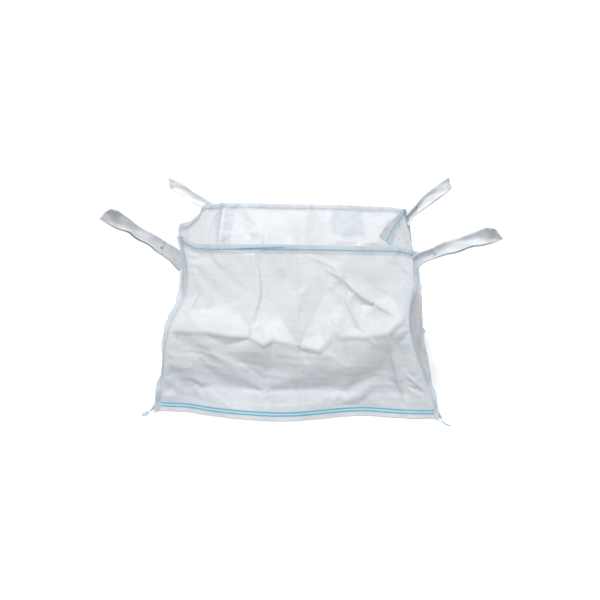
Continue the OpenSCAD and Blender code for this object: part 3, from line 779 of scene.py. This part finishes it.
def panel_grid(side):
    """A wall's points with a seam allowance at each side and below, and its UVs in metres."""
    k = SIDES.index(side)
    body = walls[side]
    rows, cols = body.shape[:2]
    j = np.arange(rows)
    parts = []
    for c, column, mark in ((k, 0, -1), ((k + 1) % 4, cols - 1, 1)):
        reach = np.arange(1, FIN_COLS + 1) / FIN_COLS
        heights = body[:, column, 2]
        direction = fin_directions(c, heights)
        aside = np.stack([-direction[:, 1], direction[:, 0], np.zeros(rows)], -1) * (-mark)
        wave = seam_ripple(80 + c, j, FIN_RIPPLE)[:, None] * reach[None] ** 1.5
        shift = layer_gap(heights)[:, None] * np.minimum(1, reach * 3)[None]
        fin = (body[:, column][:, None]
               + direction[:, None] * (FIN_W * reach[None] * fin_share(j, c, heights)[:, None])[..., None]
               + aside[:, None] * (shift - mark * wave)[..., None])
        parts.append(fin[:, ::-1] if mark < 0 else fin)
    grid = np.concatenate([parts[0], body, parts[1]], axis=1)
    wide = grid.shape[1]
    fall = np.arange(DROP_ROWS, 0, -1) / DROP_ROWS
    i = np.arange(wide)
    lower = np.repeat(grid[:1], DROP_ROWS, axis=0)
    uneven = 1 + DROP_UNEVEN * value_noise(90 + k, i * .07, i * 0 + .5)
    lower = lower + OUT[k] * (FIN_DROP * fall[:, None] * uneven[None])[..., None]
    lower[..., 2] -= (grid[0, :, 2] - FLOOR_GAP)[None] * fall[:, None]
    lower = lower + OUT[k] * seam_ripple(95 + k, i, DROP_RIPPLE)[None, :, None] * fall[:, None, None] ** 2
    grid = np.concatenate([lower, grid], axis=0)
    normals = grid_normals(grid)
    top = grid[-1]
    layers = [top + normals[-1] * HEM_LIFT * .5 + np.array([0, 0, .0006])]
    for m in range(HEM_ROWS + 1):
        lift = HEM_LIFT * (1 + .5 * value_noise(60 + k, i * .05, i * 0 + m * .3))
        layers.append(grid[-1 - m] + normals[-1 - m] * lift[:, None])
    grid = np.concatenate([grid, np.array(layers)], axis=0)
    across = (i - FIN_COLS) * 2 * BASE_HALF / COLS
    up = (np.arange(grid.shape[0]) - DROP_ROWS) * ROW_H
    uv = np.stack(np.broadcast_arrays(across[None], up[:, None]), -1)
    return grid, uv + k * 1.37


STRIP_X = (-.344, -.308)        # the strip where two widths of the back wall's cloth overlap


def joining_strip(grid, uv):
    """The second layer of the back wall's overlap, lying on its outside."""
    normals = grid_normals(grid)
    top = grid[BODY_ROWS - 1, :, 0]
    columns = np.nonzero((top > STRIP_X[0]) & (top < STRIP_X[1]))[0]
    body_rows = slice(DROP_ROWS, BODY_ROWS - HEM_ROWS)
    lift = normals[body_rows, columns] * HEM_LIFT
    lift = lift * np.sign(lift[..., 1:2])
    points = grid[body_rows, columns] + lift
    return points.reshape(-1, 3), grid_faces(*points.shape[:2]), uv[body_rows, columns].reshape(-1, 2) + .4


panels = {side: panel_grid(side) for side in SIDES}


def wall_panel(side):
    grid, uv = panels[side]
    rows, cols = grid.shape[:2]
    points, faces, uvs = grid.reshape(-1, 3), grid_faces(rows, cols), uv.reshape(-1, 2)
    if side == "back":
        points, faces, uvs = joined([(points, faces, uvs), joining_strip(grid, uv)])
    obj = add_mesh("wall_cloth_" + side, points, faces, uvs, wall_cloth)
    obj.data.materials.append(hem_cloth)
    for face in range((BODY_ROWS - 1) * (cols - 1), len(faces)):
        obj.data.polygons[face].material_index = 1
    return carried(obj, [side + "_panel"])


BASE_RIM = .045         # how far in from its seam the base starts to rise
BASE_GAP = .0012        # height of the base above the floor


def base_grid():
    """The base: flat on the floor, rising to its seam, and the seam allowance outside it."""
    front, back = walls["front"][0], walls["back"][0][::-1]
    left, right = walls["left"][0][::-1], walls["right"][0]
    s, t = shares(COLS + 1, COLS + 1)
    a, b = s[..., None], t[..., None]
    flat = ((1 - b) * front[None] + b * back[None] + (1 - a) * left[:, None] + a * right[:, None]
            - (1 - a) * (1 - b) * front[0] - a * (1 - b) * front[-1] - (1 - a) * b * back[0] - a * b * back[-1])
    to_edge = np.minimum(np.minimum(s, 1 - s), np.minimum(t, 1 - t)) * 2 * BASE_HALF
    rim = np.clip(1 - to_edge / BASE_RIM, 0, 1) ** 1.6
    folds = crease_height(CREASES["base"], s, t) * smooth_step(to_edge / .05)
    ripples = np.abs(crinkle(55, s * 2 * BASE_HALF, t * 2 * BASE_HALF, .12, .09))
    ripples = 2.2 * ripples * smooth_step(to_edge / .04)
    flat[..., 2] = BASE_GAP + rim * (SEAM_Z - BASE_GAP - .001) + folds + ripples
    return flat


def base_panel():
    flat = base_grid()
    size = flat.shape[0]
    s, t = shares(size, size)
    uv = np.stack([s, t], -1) * 2 * BASE_HALF + 7.1
    points = [flat.reshape(-1, 3)]
    uvs = [uv.reshape(-1, 2)]
    faces = grid_faces(size, size)
    count = size * size
    edges = (flat[0], flat[:, -1], flat[-1, ::-1], flat[::-1, 0])
    for k, edge in enumerate(edges):
        reach = np.arange(0, DROP_ROWS + 1)[:, None, None] / DROP_ROWS
        strip = edge[None] + OUT[k] * (FIN_DROP - .0025) * reach
        strip[..., 2] -= (edge[None, :, 2] - BASE_GAP) * reach[..., 0]
        points.append(strip.reshape(-1, 3))
        along = (np.arange(size) / (size - 1) * 2 * BASE_HALF)[None]
        uvs.append(np.stack(np.broadcast_arrays(along, reach[..., 0] * .02 + 3.3), -1).reshape(-1, 2))
        faces += grid_faces(DROP_ROWS + 1, size, start=count)
        count += strip.shape[0] * size
    obj = add_mesh("base_cloth", np.concatenate(points), faces, np.concatenate(uvs), base_cloth)
    return carried(obj, ["base_panel"])


wall_pieces = {side: wall_panel(side) for side in SIDES}
base_piece = base_panel()


# ---------------------------------------------------------------- threads
def tube(path, radius, up, sides=6):
    """Points, faces and UVs of a round thread along a path; up is a normal at each point."""
    path = np.asarray(path, float)
    ahead = unit(np.gradient(path, axis=0))
    across = unit(np.cross(ahead, np.broadcast_to(up, path.shape)))
    over = np.cross(across, ahead)
    angle = 2 * np.pi * np.arange(sides + 1) / sides
    radius = np.broadcast_to(radius, len(path))
    ring = (across[:, None] * np.cos(angle)[None, :, None] + over[:, None] * np.sin(angle)[None, :, None])
    points = path[:, None] + ring * radius[:, None, None]
    uv = np.stack(np.broadcast_arrays(lengths_along(path)[:, None], (angle / (2 * np.pi))[None]), -1)
    return points.reshape(-1, 3), grid_faces(len(path), sides + 1), uv.reshape(-1, 2)


def spaced(path, normals, step):
    """Even points about a step apart along a path, with their normals."""
    length = lengths_along(path)
    at = np.linspace(0, length[-1], max(2, int(round(length[-1] / step)) + 1))
    return points_at(at, length, path), unit(points_at(at, length, normals))


def dash_stitches(path, normals, seed, diameter=THREAD_D, gap=.07):
    """The needle side of a seam: separate dashes that dip into the cloth at both ends."""
    holes, up = spaced(path, normals, STITCH)
    uneven = np.random.RandomState(seed).uniform(-1, 1, (len(holes), 2))
    parts = []
    for n in range(len(holes) - 1):
        a = holes[n] + (holes[n + 1] - holes[n]) * gap
        b = holes[n + 1] - (holes[n + 1] - holes[n]) * gap
        side = unit(np.cross(b - a, up[n])) * .0003 * uneven[n, 0]
        x = np.linspace(0, 1, 8)
        arch = np.sin(np.pi * x) ** .6 * (1 + .15 * uneven[n, 1])
        line = a + (b - a) * x[:, None] + up[n] * ((arch - .75) * diameter * .62)[:, None] + side
        parts.append(tube(line, diameter / 2 * (.78 + .22 * np.sin(np.pi * x)), up[n]))
    return parts


def chain_stitches(path, normals, seed, diameter=THREAD_D):
    """The looper side of a seam: each link's two strands spread and run into the next link."""
    holes, up = spaced(path, normals, STITCH)
    uneven = np.random.RandomState(seed).uniform(.85, 1.15, len(holes))
    parts = []
    for n in range(len(holes) - 1):
        ahead = holes[n + 1] - holes[n]
        across = unit(np.cross(ahead, up[n]))
        x = np.linspace(-.04, 1.12, 8)
        spread = np.sin(np.pi * np.clip((x + .04) / 1.16, 0, 1)) ** .7 * diameter * .42 * uneven[n]
        rise = (.12 + .30 * np.clip(x, 0, 1)) * diameter
        for mark in (-1, 1):
            line = holes[n] + ahead * x[:, None] + across * (mark * spread)[:, None] + up[n] * rise[:, None]
            parts.append(tube(line, diameter * .30, up[n], 5))
    return parts


def grid_line(side, row, columns):
    """Points and normals along a wall's grid at a fractional row, or at one row for each column."""
    grid = panels[side][0]
    low = np.floor(row).astype(int)
    share = np.reshape(row - low, (-1, 1))
    points = grid[low, columns] * (1 - share) + grid[np.minimum(low + 1, len(grid) - 1), columns] * share
    return points, grid_normals(grid)[low, columns]


def facing_out(normals, k):
    return normals * np.sign(np.sum(normals * OUT[k], axis=1, keepdims=True))


def thread_piece(name, parts, node):
    carried(add_mesh(name, *joined(parts), blue_thread), [node])


INNER_COLUMNS = np.arange(FIN_COLS, FIN_COLS + COLS + 1)
BASE_SEAM_ROWS = (DROP_ROWS - .25, DROP_ROWS - 1.7)
CORNER_SEAM_REACH = (.32, .75)      # where the two rows lie across a corner's seam allowance
OVERLAP = (.19, .455)               # where the hem thread's two ends overlap on the front
OVERLAP_RISE = .007                 # how far the overlapping row climbs


def hem_threads():
    """One row round the outside of the hem, overlapping itself on the front, and its looper side within."""
    parts, inner_parts = [], []
    for k, side in enumerate(SIDES):
        drop = HEM_STITCH + .0016 * value_noise(300 + k, INNER_COLUMNS * .03, INNER_COLUMNS * 0)
        points, normals = grid_line(side, BODY_ROWS + 1 + drop / ROW_H, INNER_COLUMNS)
        normals = facing_out(normals, k)
        parts += dash_stitches(points + normals * THREAD_D * .2, normals, 310 + k)
        inside, inward = grid_line(side, BODY_ROWS - 1 - HEM_STITCH / ROW_H, INNER_COLUMNS)
        inner_parts += chain_stitches(inside - inward * THREAD_D * .1, -inward, 320 + k, THREAD_D * .6)
        if side == "front":
            share = np.linspace(0, 1, len(points))
            run = (share > OVERLAP[0]) & (share < OVERLAP[1])
            tail = points[run] + normals[run] * THREAD_D * .35
            tail[:, 2] += OVERLAP_RISE * (share[run] - .20) / .25
            parts += dash_stitches(tail, normals[run], 330)
    inner = add_mesh("hem_thread_inside", *joined(inner_parts), white_thread)
    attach(inner, "bag")
    thread_piece("hem_thread", parts, "hem_stitch")


def base_threads(k, side):
    """Two rows of chain stitch through the base's seam allowance."""
    parts = []
    for n, row in enumerate(BASE_SEAM_ROWS):
        points, normals = grid_line(side, row, INNER_COLUMNS)
        normals = facing_out(normals, k)
        parts += chain_stitches(points + normals * THREAD_D * .15, normals, 340 + 2 * k + n, THREAD_D * 1.25)
    thread_piece("base_thread_" + side, parts, "base_stitch_" + side)


def corner_threads(c, corner):
    """Two rows through a corner's seam allowances, dashes on one face and chain stitch on the other."""
    parts = []
    rows = np.arange(DROP_ROWS + 2, BODY_ROWS - 1)
    for side, first, mark in ((SIDES[c], FIN_COLS, -1), (SIDES[c - 1], FIN_COLS + COLS, 1)):
        grid = panels[side][0]
        for n, reach in enumerate(CORNER_SEAM_REACH):
            position = first + mark * reach * FIN_COLS
            low = int(math.floor(position))
            share = position - low
            line = grid[rows, low] * (1 - share) + grid[rows, low + 1] * share
            direction = fin_directions(c, line[:, 2])
            normals = np.stack([-direction[:, 1], direction[:, 0], np.zeros(len(line))], -1) * (-mark)
            line, seed = line + normals * THREAD_D * .1, 360 + 4 * c + n
            if (mark < 0) == (corner != "front_right"):
                parts += dash_stitches(line, normals, seed, THREAD_D * .5, .2)
            else:
                parts += chain_stitches(line, normals, seed, THREAD_D * .5)
    thread_piece("corner_thread_" + corner, parts, "corner_stitch_" + corner)


hem_threads()
for k, side in enumerate(SIDES):
    base_threads(k, side)
for c, corner in enumerate(CORNERS):
    corner_threads(c, corner)

# ---------------------------------------------------------------- loose thread tails
TAIL_D = 0.0026
TWIST = 0.0065          # length of one turn of a tail's two plies
# Points along each tail, in millimetres
TAIL_ROUTES = {
    "thread_tail_front_left": ((-456, -476, 18), (-461, -480, 15), (-467, -482, 11), (-474, -482, 7),
                               (-481, -483, 4), (-488, -486, 3), (-493, -492, 3), (-491, -499, 3),
                               (-484, -502, 3), (-478, -498, 4), (-477, -491, 7), (-481, -485, 9),
                               (-487, -482, 8)),
    "thread_tail_front_right": ((456, -476, 18), (461, -481, 15), (466, -486, 11), (470, -492, 7),
                                (474, -498, 4), (479, -504, 3), (485, -509, 3), (491, -512, 3)),
}


def thread_tail(node):
    """A chained thread end: two plies that wind round the tail's route."""
    route = np.array(TAIL_ROUTES[node]) / 1000
    path = doubled(doubled(route, 0), 0)
    length = lengths_along(path)
    fine = np.linspace(0, length[-1], 90)
    path = points_at(fine, length, path)
    ahead = unit(np.gradient(path, axis=0))
    across = unit(np.cross(ahead, (0, 0, 1)))
    over = np.cross(across, ahead)
    parts = []
    for start in (0, math.pi):
        turn = fine / TWIST * 2 * math.pi + start
        offset = (across * np.cos(turn)[:, None] + over * np.sin(turn)[:, None]) * TAIL_D * .24
        parts.append(tube(path + offset, TAIL_D * .27, over, 6))
    obj = carried(add_mesh(node + "_ply", *joined(parts), blue_thread), [node])


for node in TAIL_ROUTES:
    thread_tail(node)

# ---------------------------------------------------------------- lifting loops
joints = {joint["name"]: joint for joint in frame["joints"]}


def loop_frame(corner):
    """A loop's pivot, its direction along the webbing, square to its face and across its width."""
    raise_joint, bend_joint = joints["raise_" + corner], joints["bend_" + corner]
    pivot = np.array(raise_joint["pos_m"])
    bend = np.array(bend_joint["pos_m"])
    along = unit(bend - pivot)
    across = unit(bend_joint["axis"])
    return pivot, bend, along, np.cross(across, along), across


LOOP_START = -0.066     # how far inside the seam the webbing starts, from the pivot
NECK_SPLIT = 0.030      # where the root piece ends and the eye piece begins
LOOP_END = 0.272        # the loop's tip, from the pivot
EYE_START = 0.050       # where the eye's two legs part
EYE_HALF = 0.0022       # half the gap between the eye's two legs
ROOT_HALF = 0.0011      # half the distance between the two legs where they leave the seam
ROOT_ROWS = 26
EYE_ROWS = 64
SLANT = math.radians(45)    # slope at which the webbing's ends are sewn into the seam
STRAP_COLS = 17
SEWN_IN = 0.003         # distance of the webbing's sewn ends from the corner seam
CENTRE_STEP = 0.001     # step of the webbing's centre line inside the seam
# Each loop's form along its length: distance from the pivot, turn about its own line in degrees
# so that the near face looks up, and width left when its edges curl towards the viewer
LOOP_FORMS = {
    "front_left": ((-.066, 0, 1.0), (-.01, 4, .93), (.04, 14, .94), (.11, 32, .87), (.17, 28, .89),
                   (.225, 2, .95), (.272, -34, .98)),
    "front_right": ((-.066, 0, 1.0), (-.02, 0, .66), (.02, 10, .55), (.06, 26, .70), (.12, 20, .84),
                    (.18, 26, .78), (.232, 2, .92), (.272, -42, .98)),
    "back_right": ((-.066, 0, .9), (-.01, 0, .55), (.06, 22, .74), (.14, 30, .88), (.22, 26, .96),
                   (.272, 4, 1.0)),
    "back_left": ((-.066, 0, .9), (-.01, 4, .70), (.06, 2, .74), (.14, -4, .88), (.21, -8, .96),
                  (.272, -20, 1.0)),
}


def eased(x, rows, column):
    """A column of a table at x, easing from one row to the next."""
    places = [row[0] for row in rows]
    n = int(np.clip(np.searchsorted(places, x) - 1, 0, len(rows) - 2))
    share = float(smooth_step((x - places[n]) / (places[n + 1] - places[n])))
    return rows[n][column] * (1 - share) + rows[n + 1][column] * share


def loop_surface(corner, places, leg_half, mark, seed):
    """A grid of points on one leg of a loop, for distances along it from the pivot."""
    pivot, _, along, face, _ = loop_frame(corner)
    out_way = fin_direction(CORNERS.index(corner))
    seam_path = np.array(SEAM_PATHS[corner])
    heading = unit(np.array([along[0], along[1], 0]))
    level = np.array([0, 0, 1.0])
    lift = math.asin(along[2])
    near = -1 if face[1] > 0 else 1
    v = np.linspace(-1, 1, STRAP_COLS)
    inward = np.arange(0, -LOOP_START + CENTRE_STEP, CENTRE_STEP)
    slope = lift + (SLANT - lift) * smooth_step(inward / .020)
    aside = smooth_step((inward - .012) / .020)[:, None]
    flat_way = unit(heading * (1 - aside) + out_way * aside)
    tangents = flat_way * np.cos(slope)[:, None] + level * np.sin(slope)[:, None]
    centres = pivot - np.concatenate([np.zeros((1, 3)), np.cumsum(tangents[:-1] * CENTRE_STEP, axis=0)])
    rows = []
    for place, half in zip(places, leg_half):
        if place < 0:
            n = min(int(round(-place / CENTRE_STEP)), len(centres) - 1)
            centre, ahead = centres[n], tangents[n]
        else:
            centre, ahead = pivot + along * place, along
        face_way = unit(np.cross(level, ahead))
        width_way = np.cross(ahead, face_way)
        turn = math.radians(eased(place, LOOP_FORMS[corner], 1)) + .06 * math.sin(place * 41 + seed)
        left = min(.999, eased(place, LOOP_FORMS[corner], 2))
        w = width_way * math.cos(turn) - face_way * (near * math.sin(turn))
        f = face_way * math.cos(turn) + width_way * (near * math.sin(turn))
        curl = math.sqrt(6 * (1 - left))
        free = float(smooth_step((place - .02) / .08))
        wave = free * (.0026 * math.sin(place * 31 + seed) + .0016 * math.sin(place * 73 + 2.1 * seed))
        pucker = .0012 * free * np.sin(v * 4.1 + place * 60 + seed)
        lateral = STRAP_W / 2 * np.sin(curl * v) / curl
        sag = near * STRAP_W / 2 * ((1 - np.cos(curl * v)) / curl - curl / 6)
        normal = f * np.cos(curl * v)[:, None] - w * (near * np.sin(curl * v))[:, None]
        row = centre + w * lateral[:, None] + f * (sag + wave + pucker)[:, None] + normal * (mark * half)
        if place < 0:
            seam = points_at(row[:, 2], seam_path[:, 0], seam_path[:, 1:])
            outward = np.sum((row[:, :2] - seam) * out_way[:2], axis=1)
            short = np.maximum(0, SEWN_IN - place * .02 - outward)
            row = row + ahead * (short / max(.3, float(np.dot(ahead, out_way))))[:, None]
        rows.append(row)
    return np.array(rows)


def strap_part(rows, uv_start=0):
    """Points, faces and UVs of a strip of webbing, its UVs in metres along and across it."""
    lengths = uv_start + lengths_along(rows[:, STRAP_COLS // 2])
    uv = np.stack(np.broadcast_arrays(lengths[:, None], np.linspace(0, STRAP_W, STRAP_COLS)[None]), -1)
    return rows.reshape(-1, 3), grid_faces(len(rows), STRAP_COLS), uv.reshape(-1, 2)


def strap_piece(name, parts, nodes):
    """A piece of webbing with its thickness."""
    obj = add_mesh(name, *joined(parts), webbing)
    solid = obj.modifiers.new("thickness", "SOLIDIFY")
    solid.thickness = STRAP_T
    solid.offset = 0
    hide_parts(*nodes)
    return obj


def eye_half(place):
    """Half the gap between the two legs of the eye at a distance from the pivot."""
    u = np.clip((place - EYE_START) / (LOOP_END - EYE_START), 0, 1)
    return ROOT_HALF + (EYE_HALF - ROOT_HALF) * (u ** .8 * np.sqrt(1 - u) / .4203)


def lifting_loop(corner, seed):
    """A loop as its root, two layers from inside the seam out past the pivot, and its eye beyond the neck."""
    pivot, bend, along, _, _ = loop_frame(corner)
    root_places = np.linspace(LOOP_START, NECK_SPLIT, ROOT_ROWS)
    layers = [strap_part(loop_surface(corner, root_places, np.full(ROOT_ROWS, ROOT_HALF), mark, seed))
              for mark in (-1, 1)]
    root = strap_piece("loop_root_" + corner, layers, ["loop_end_" + corner, "loop_neck_" + corner])
    eye_places = NECK_SPLIT + (LOOP_END - NECK_SPLIT) * np.sin(np.linspace(0, 1, EYE_ROWS) * math.pi / 2)
    out_leg = loop_surface(corner, eye_places, eye_half(eye_places), -1, seed)
    back_leg = loop_surface(corner, eye_places[::-1], eye_half(eye_places[::-1]), 1, seed)
    tip = (out_leg[-1] + back_leg[0]) / 2 + along * .0012
    rows = np.concatenate([out_leg[:-1], tip[None], back_leg[1:]])
    eye = strap_piece("loop_eye_" + corner, [strap_part(rows, .08)], ["lift_loop_" + corner])
    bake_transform(root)
    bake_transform(eye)


TACK_PLACE = .039       # the tack's middle, from the pivot
TACK_REACH = .004
TACK_PITCH = .0021      # distance between its stitches


def loop_tack(corner, seed):
    """The short blue tack through both layers, one on each face of the neck."""
    _, _, _, face, across = loop_frame(corner)
    places = np.array([TACK_PLACE - TACK_REACH, TACK_PLACE, TACK_PLACE + TACK_REACH])
    parts = []
    for mark in (-1, 1):
        middle = loop_surface(corner, places, np.full(3, ROOT_HALF), mark, seed)[:, STRAP_COLS // 2]
        normal = face * mark
        for n in (-1, 0, 1):
            line = middle + across * n * TACK_PITCH + normal * (STRAP_T * .5 + THREAD_D * .12)
            parts.append(tube(doubled(line, 0), THREAD_D * .42, normal))
    obj = add_mesh("loop_tack_thread_" + corner, *joined(parts), blue_thread)
    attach(obj, "neck_" + corner)
    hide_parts("loop_tack_" + corner)


LOOP_SEEDS = {"front_left": 0.4, "front_right": 2.3, "back_right": 4.0, "back_left": 5.2}
for corner in CORNERS:
    lifting_loop(corner, LOOP_SEEDS[corner])
    loop_tack(corner, LOOP_SEEDS[corner])


# ---------------------------------------------------------------- blank label outside the back wall
LABEL_SIZE = (0.122, 0.100)
LABEL_ROWS, LABEL_COLS = 34, 26
LABEL_GAP = 0.0022      # distance from the wall at its top
LABEL_CURL = 0.010      # how much further its lower edge stands off


def blank_label():
    """A film that hangs from the back wall's hem, following the wall and curling off it lower down."""
    low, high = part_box("blank_label")
    grid, span = panels["back"][0], walls["back"][-1]
    middle = np.interp(-(low[0] + high[0]) / 2, -span[:, 0], np.linspace(0, 1, len(span)))
    half = LABEL_SIZE[0] / 2 / (2 * abs(span[0, 0]))
    top_row = BODY_ROWS - 1 - (HEM_W + .002) / ROW_H
    across, up = shares(LABEL_ROWS, LABEL_COLS)
    row = top_row - LABEL_SIZE[1] / ROW_H * (1 - up)
    column = FIN_COLS + (middle - half + 2 * half * across) * COLS
    a, b = row.astype(int), column.astype(int)
    fr, fc = (row - a)[..., None], (column - b)[..., None]
    points = ((grid[a, b] * (1 - fc) + grid[a, b + 1] * fc) * (1 - fr)
              + (grid[a + 1, b] * (1 - fc) + grid[a + 1, b + 1] * fc) * fr)
    curl = LABEL_GAP + LABEL_CURL * (1 - up) ** 2 * (.4 + .6 * across ** 2)
    points = points + OUT[2] * curl[..., None]
    uv = np.stack([across * LABEL_SIZE[0], up * LABEL_SIZE[1]], -1) + 5
    faces = grid_faces(LABEL_ROWS, LABEL_COLS)
    obj = add_mesh("label_sheet", points.reshape(-1, 3), faces, uv.reshape(-1, 2), label_film)
    return carried(obj, ["blank_label"])


label_piece = blank_label()

# ---------------------------------------------------------------- floor and light
FLOOR_REACH = 60
floor = add_mesh("floor", [(-FLOOR_REACH, -FLOOR_REACH, 0), (FLOOR_REACH, -FLOOR_REACH, 0),
                           (FLOOR_REACH, FLOOR_REACH, 0), (-FLOOR_REACH, FLOOR_REACH, 0)],
                 [(0, 1, 2, 3)], None, floor_material(), False)
floor.visible_diffuse = False       # the room below the bag throws back less light than the white sweep shows


def studio_world():
    """A white band round the horizon under a softer, dimmer dome."""
    world = bpy.data.worlds.new("studio")
    scene.world = world
    world.use_nodes = True
    sky = Shading(world.node_tree)
    direction = sky.nodes.new("ShaderNodeTexCoord").outputs["Generated"]
    colour = sky.ramp(sky.math("MULTIPLY_ADD", sky.split(direction)["Z"], 0.5, 0.5), [
        (0.44, (0.34, 0.345, 0.35)), (0.48, (1.02, 1.02, 1.02)), (0.59, (1.02, 1.02, 1.02)),
        (0.65, (0.24, 0.244, 0.248)), (1.0, (0.36, 0.365, 0.37))])
    sky.set(sky.nodes["Background"], "Color", colour)
    sky.set(sky.nodes["Background"], "Strength", 1.0)


def lamp(name, kind, direction, power):
    data = bpy.data.lights.new(name, kind)
    data.energy = power
    obj = bpy.data.objects.new(name, data)
    obj.rotation_euler = Vector(direction).to_track_quat("-Z", "Y").to_euler()
    scene.collection.objects.link(obj)
    return obj, data


def sun(name, direction, strength, angle):
    _, data = lamp(name, "SUN", direction, strength)
    data.angle = math.radians(angle)


def panel_light(name, place, direction, size, power):
    """A soft rectangular light that the camera doesn't see."""
    obj, data = lamp(name, "AREA", direction, power)
    data.shape = "RECTANGLE"
    data.size, data.size_y = size
    data.spread = math.radians(90)
    obj.location = place
    obj.visible_camera = False


studio_world()
sun("key", (0.08, 0.55, -0.83), 2.85, 25)
sun("behind", (0.05, -0.66, -0.75), 0.55, 60)
panel_light("glow_behind", (-0.10, 1.15, 0.42), (0, -1, 0), (1.6, 0.8), 2.2)
panel_light("glow_left", (-1.15, 0.15, 0.55), (1, 0, 0), (0.8, 0.5), 1.1)
scene.view_settings.view_transform = "Standard"
scene.view_settings.look = "None"
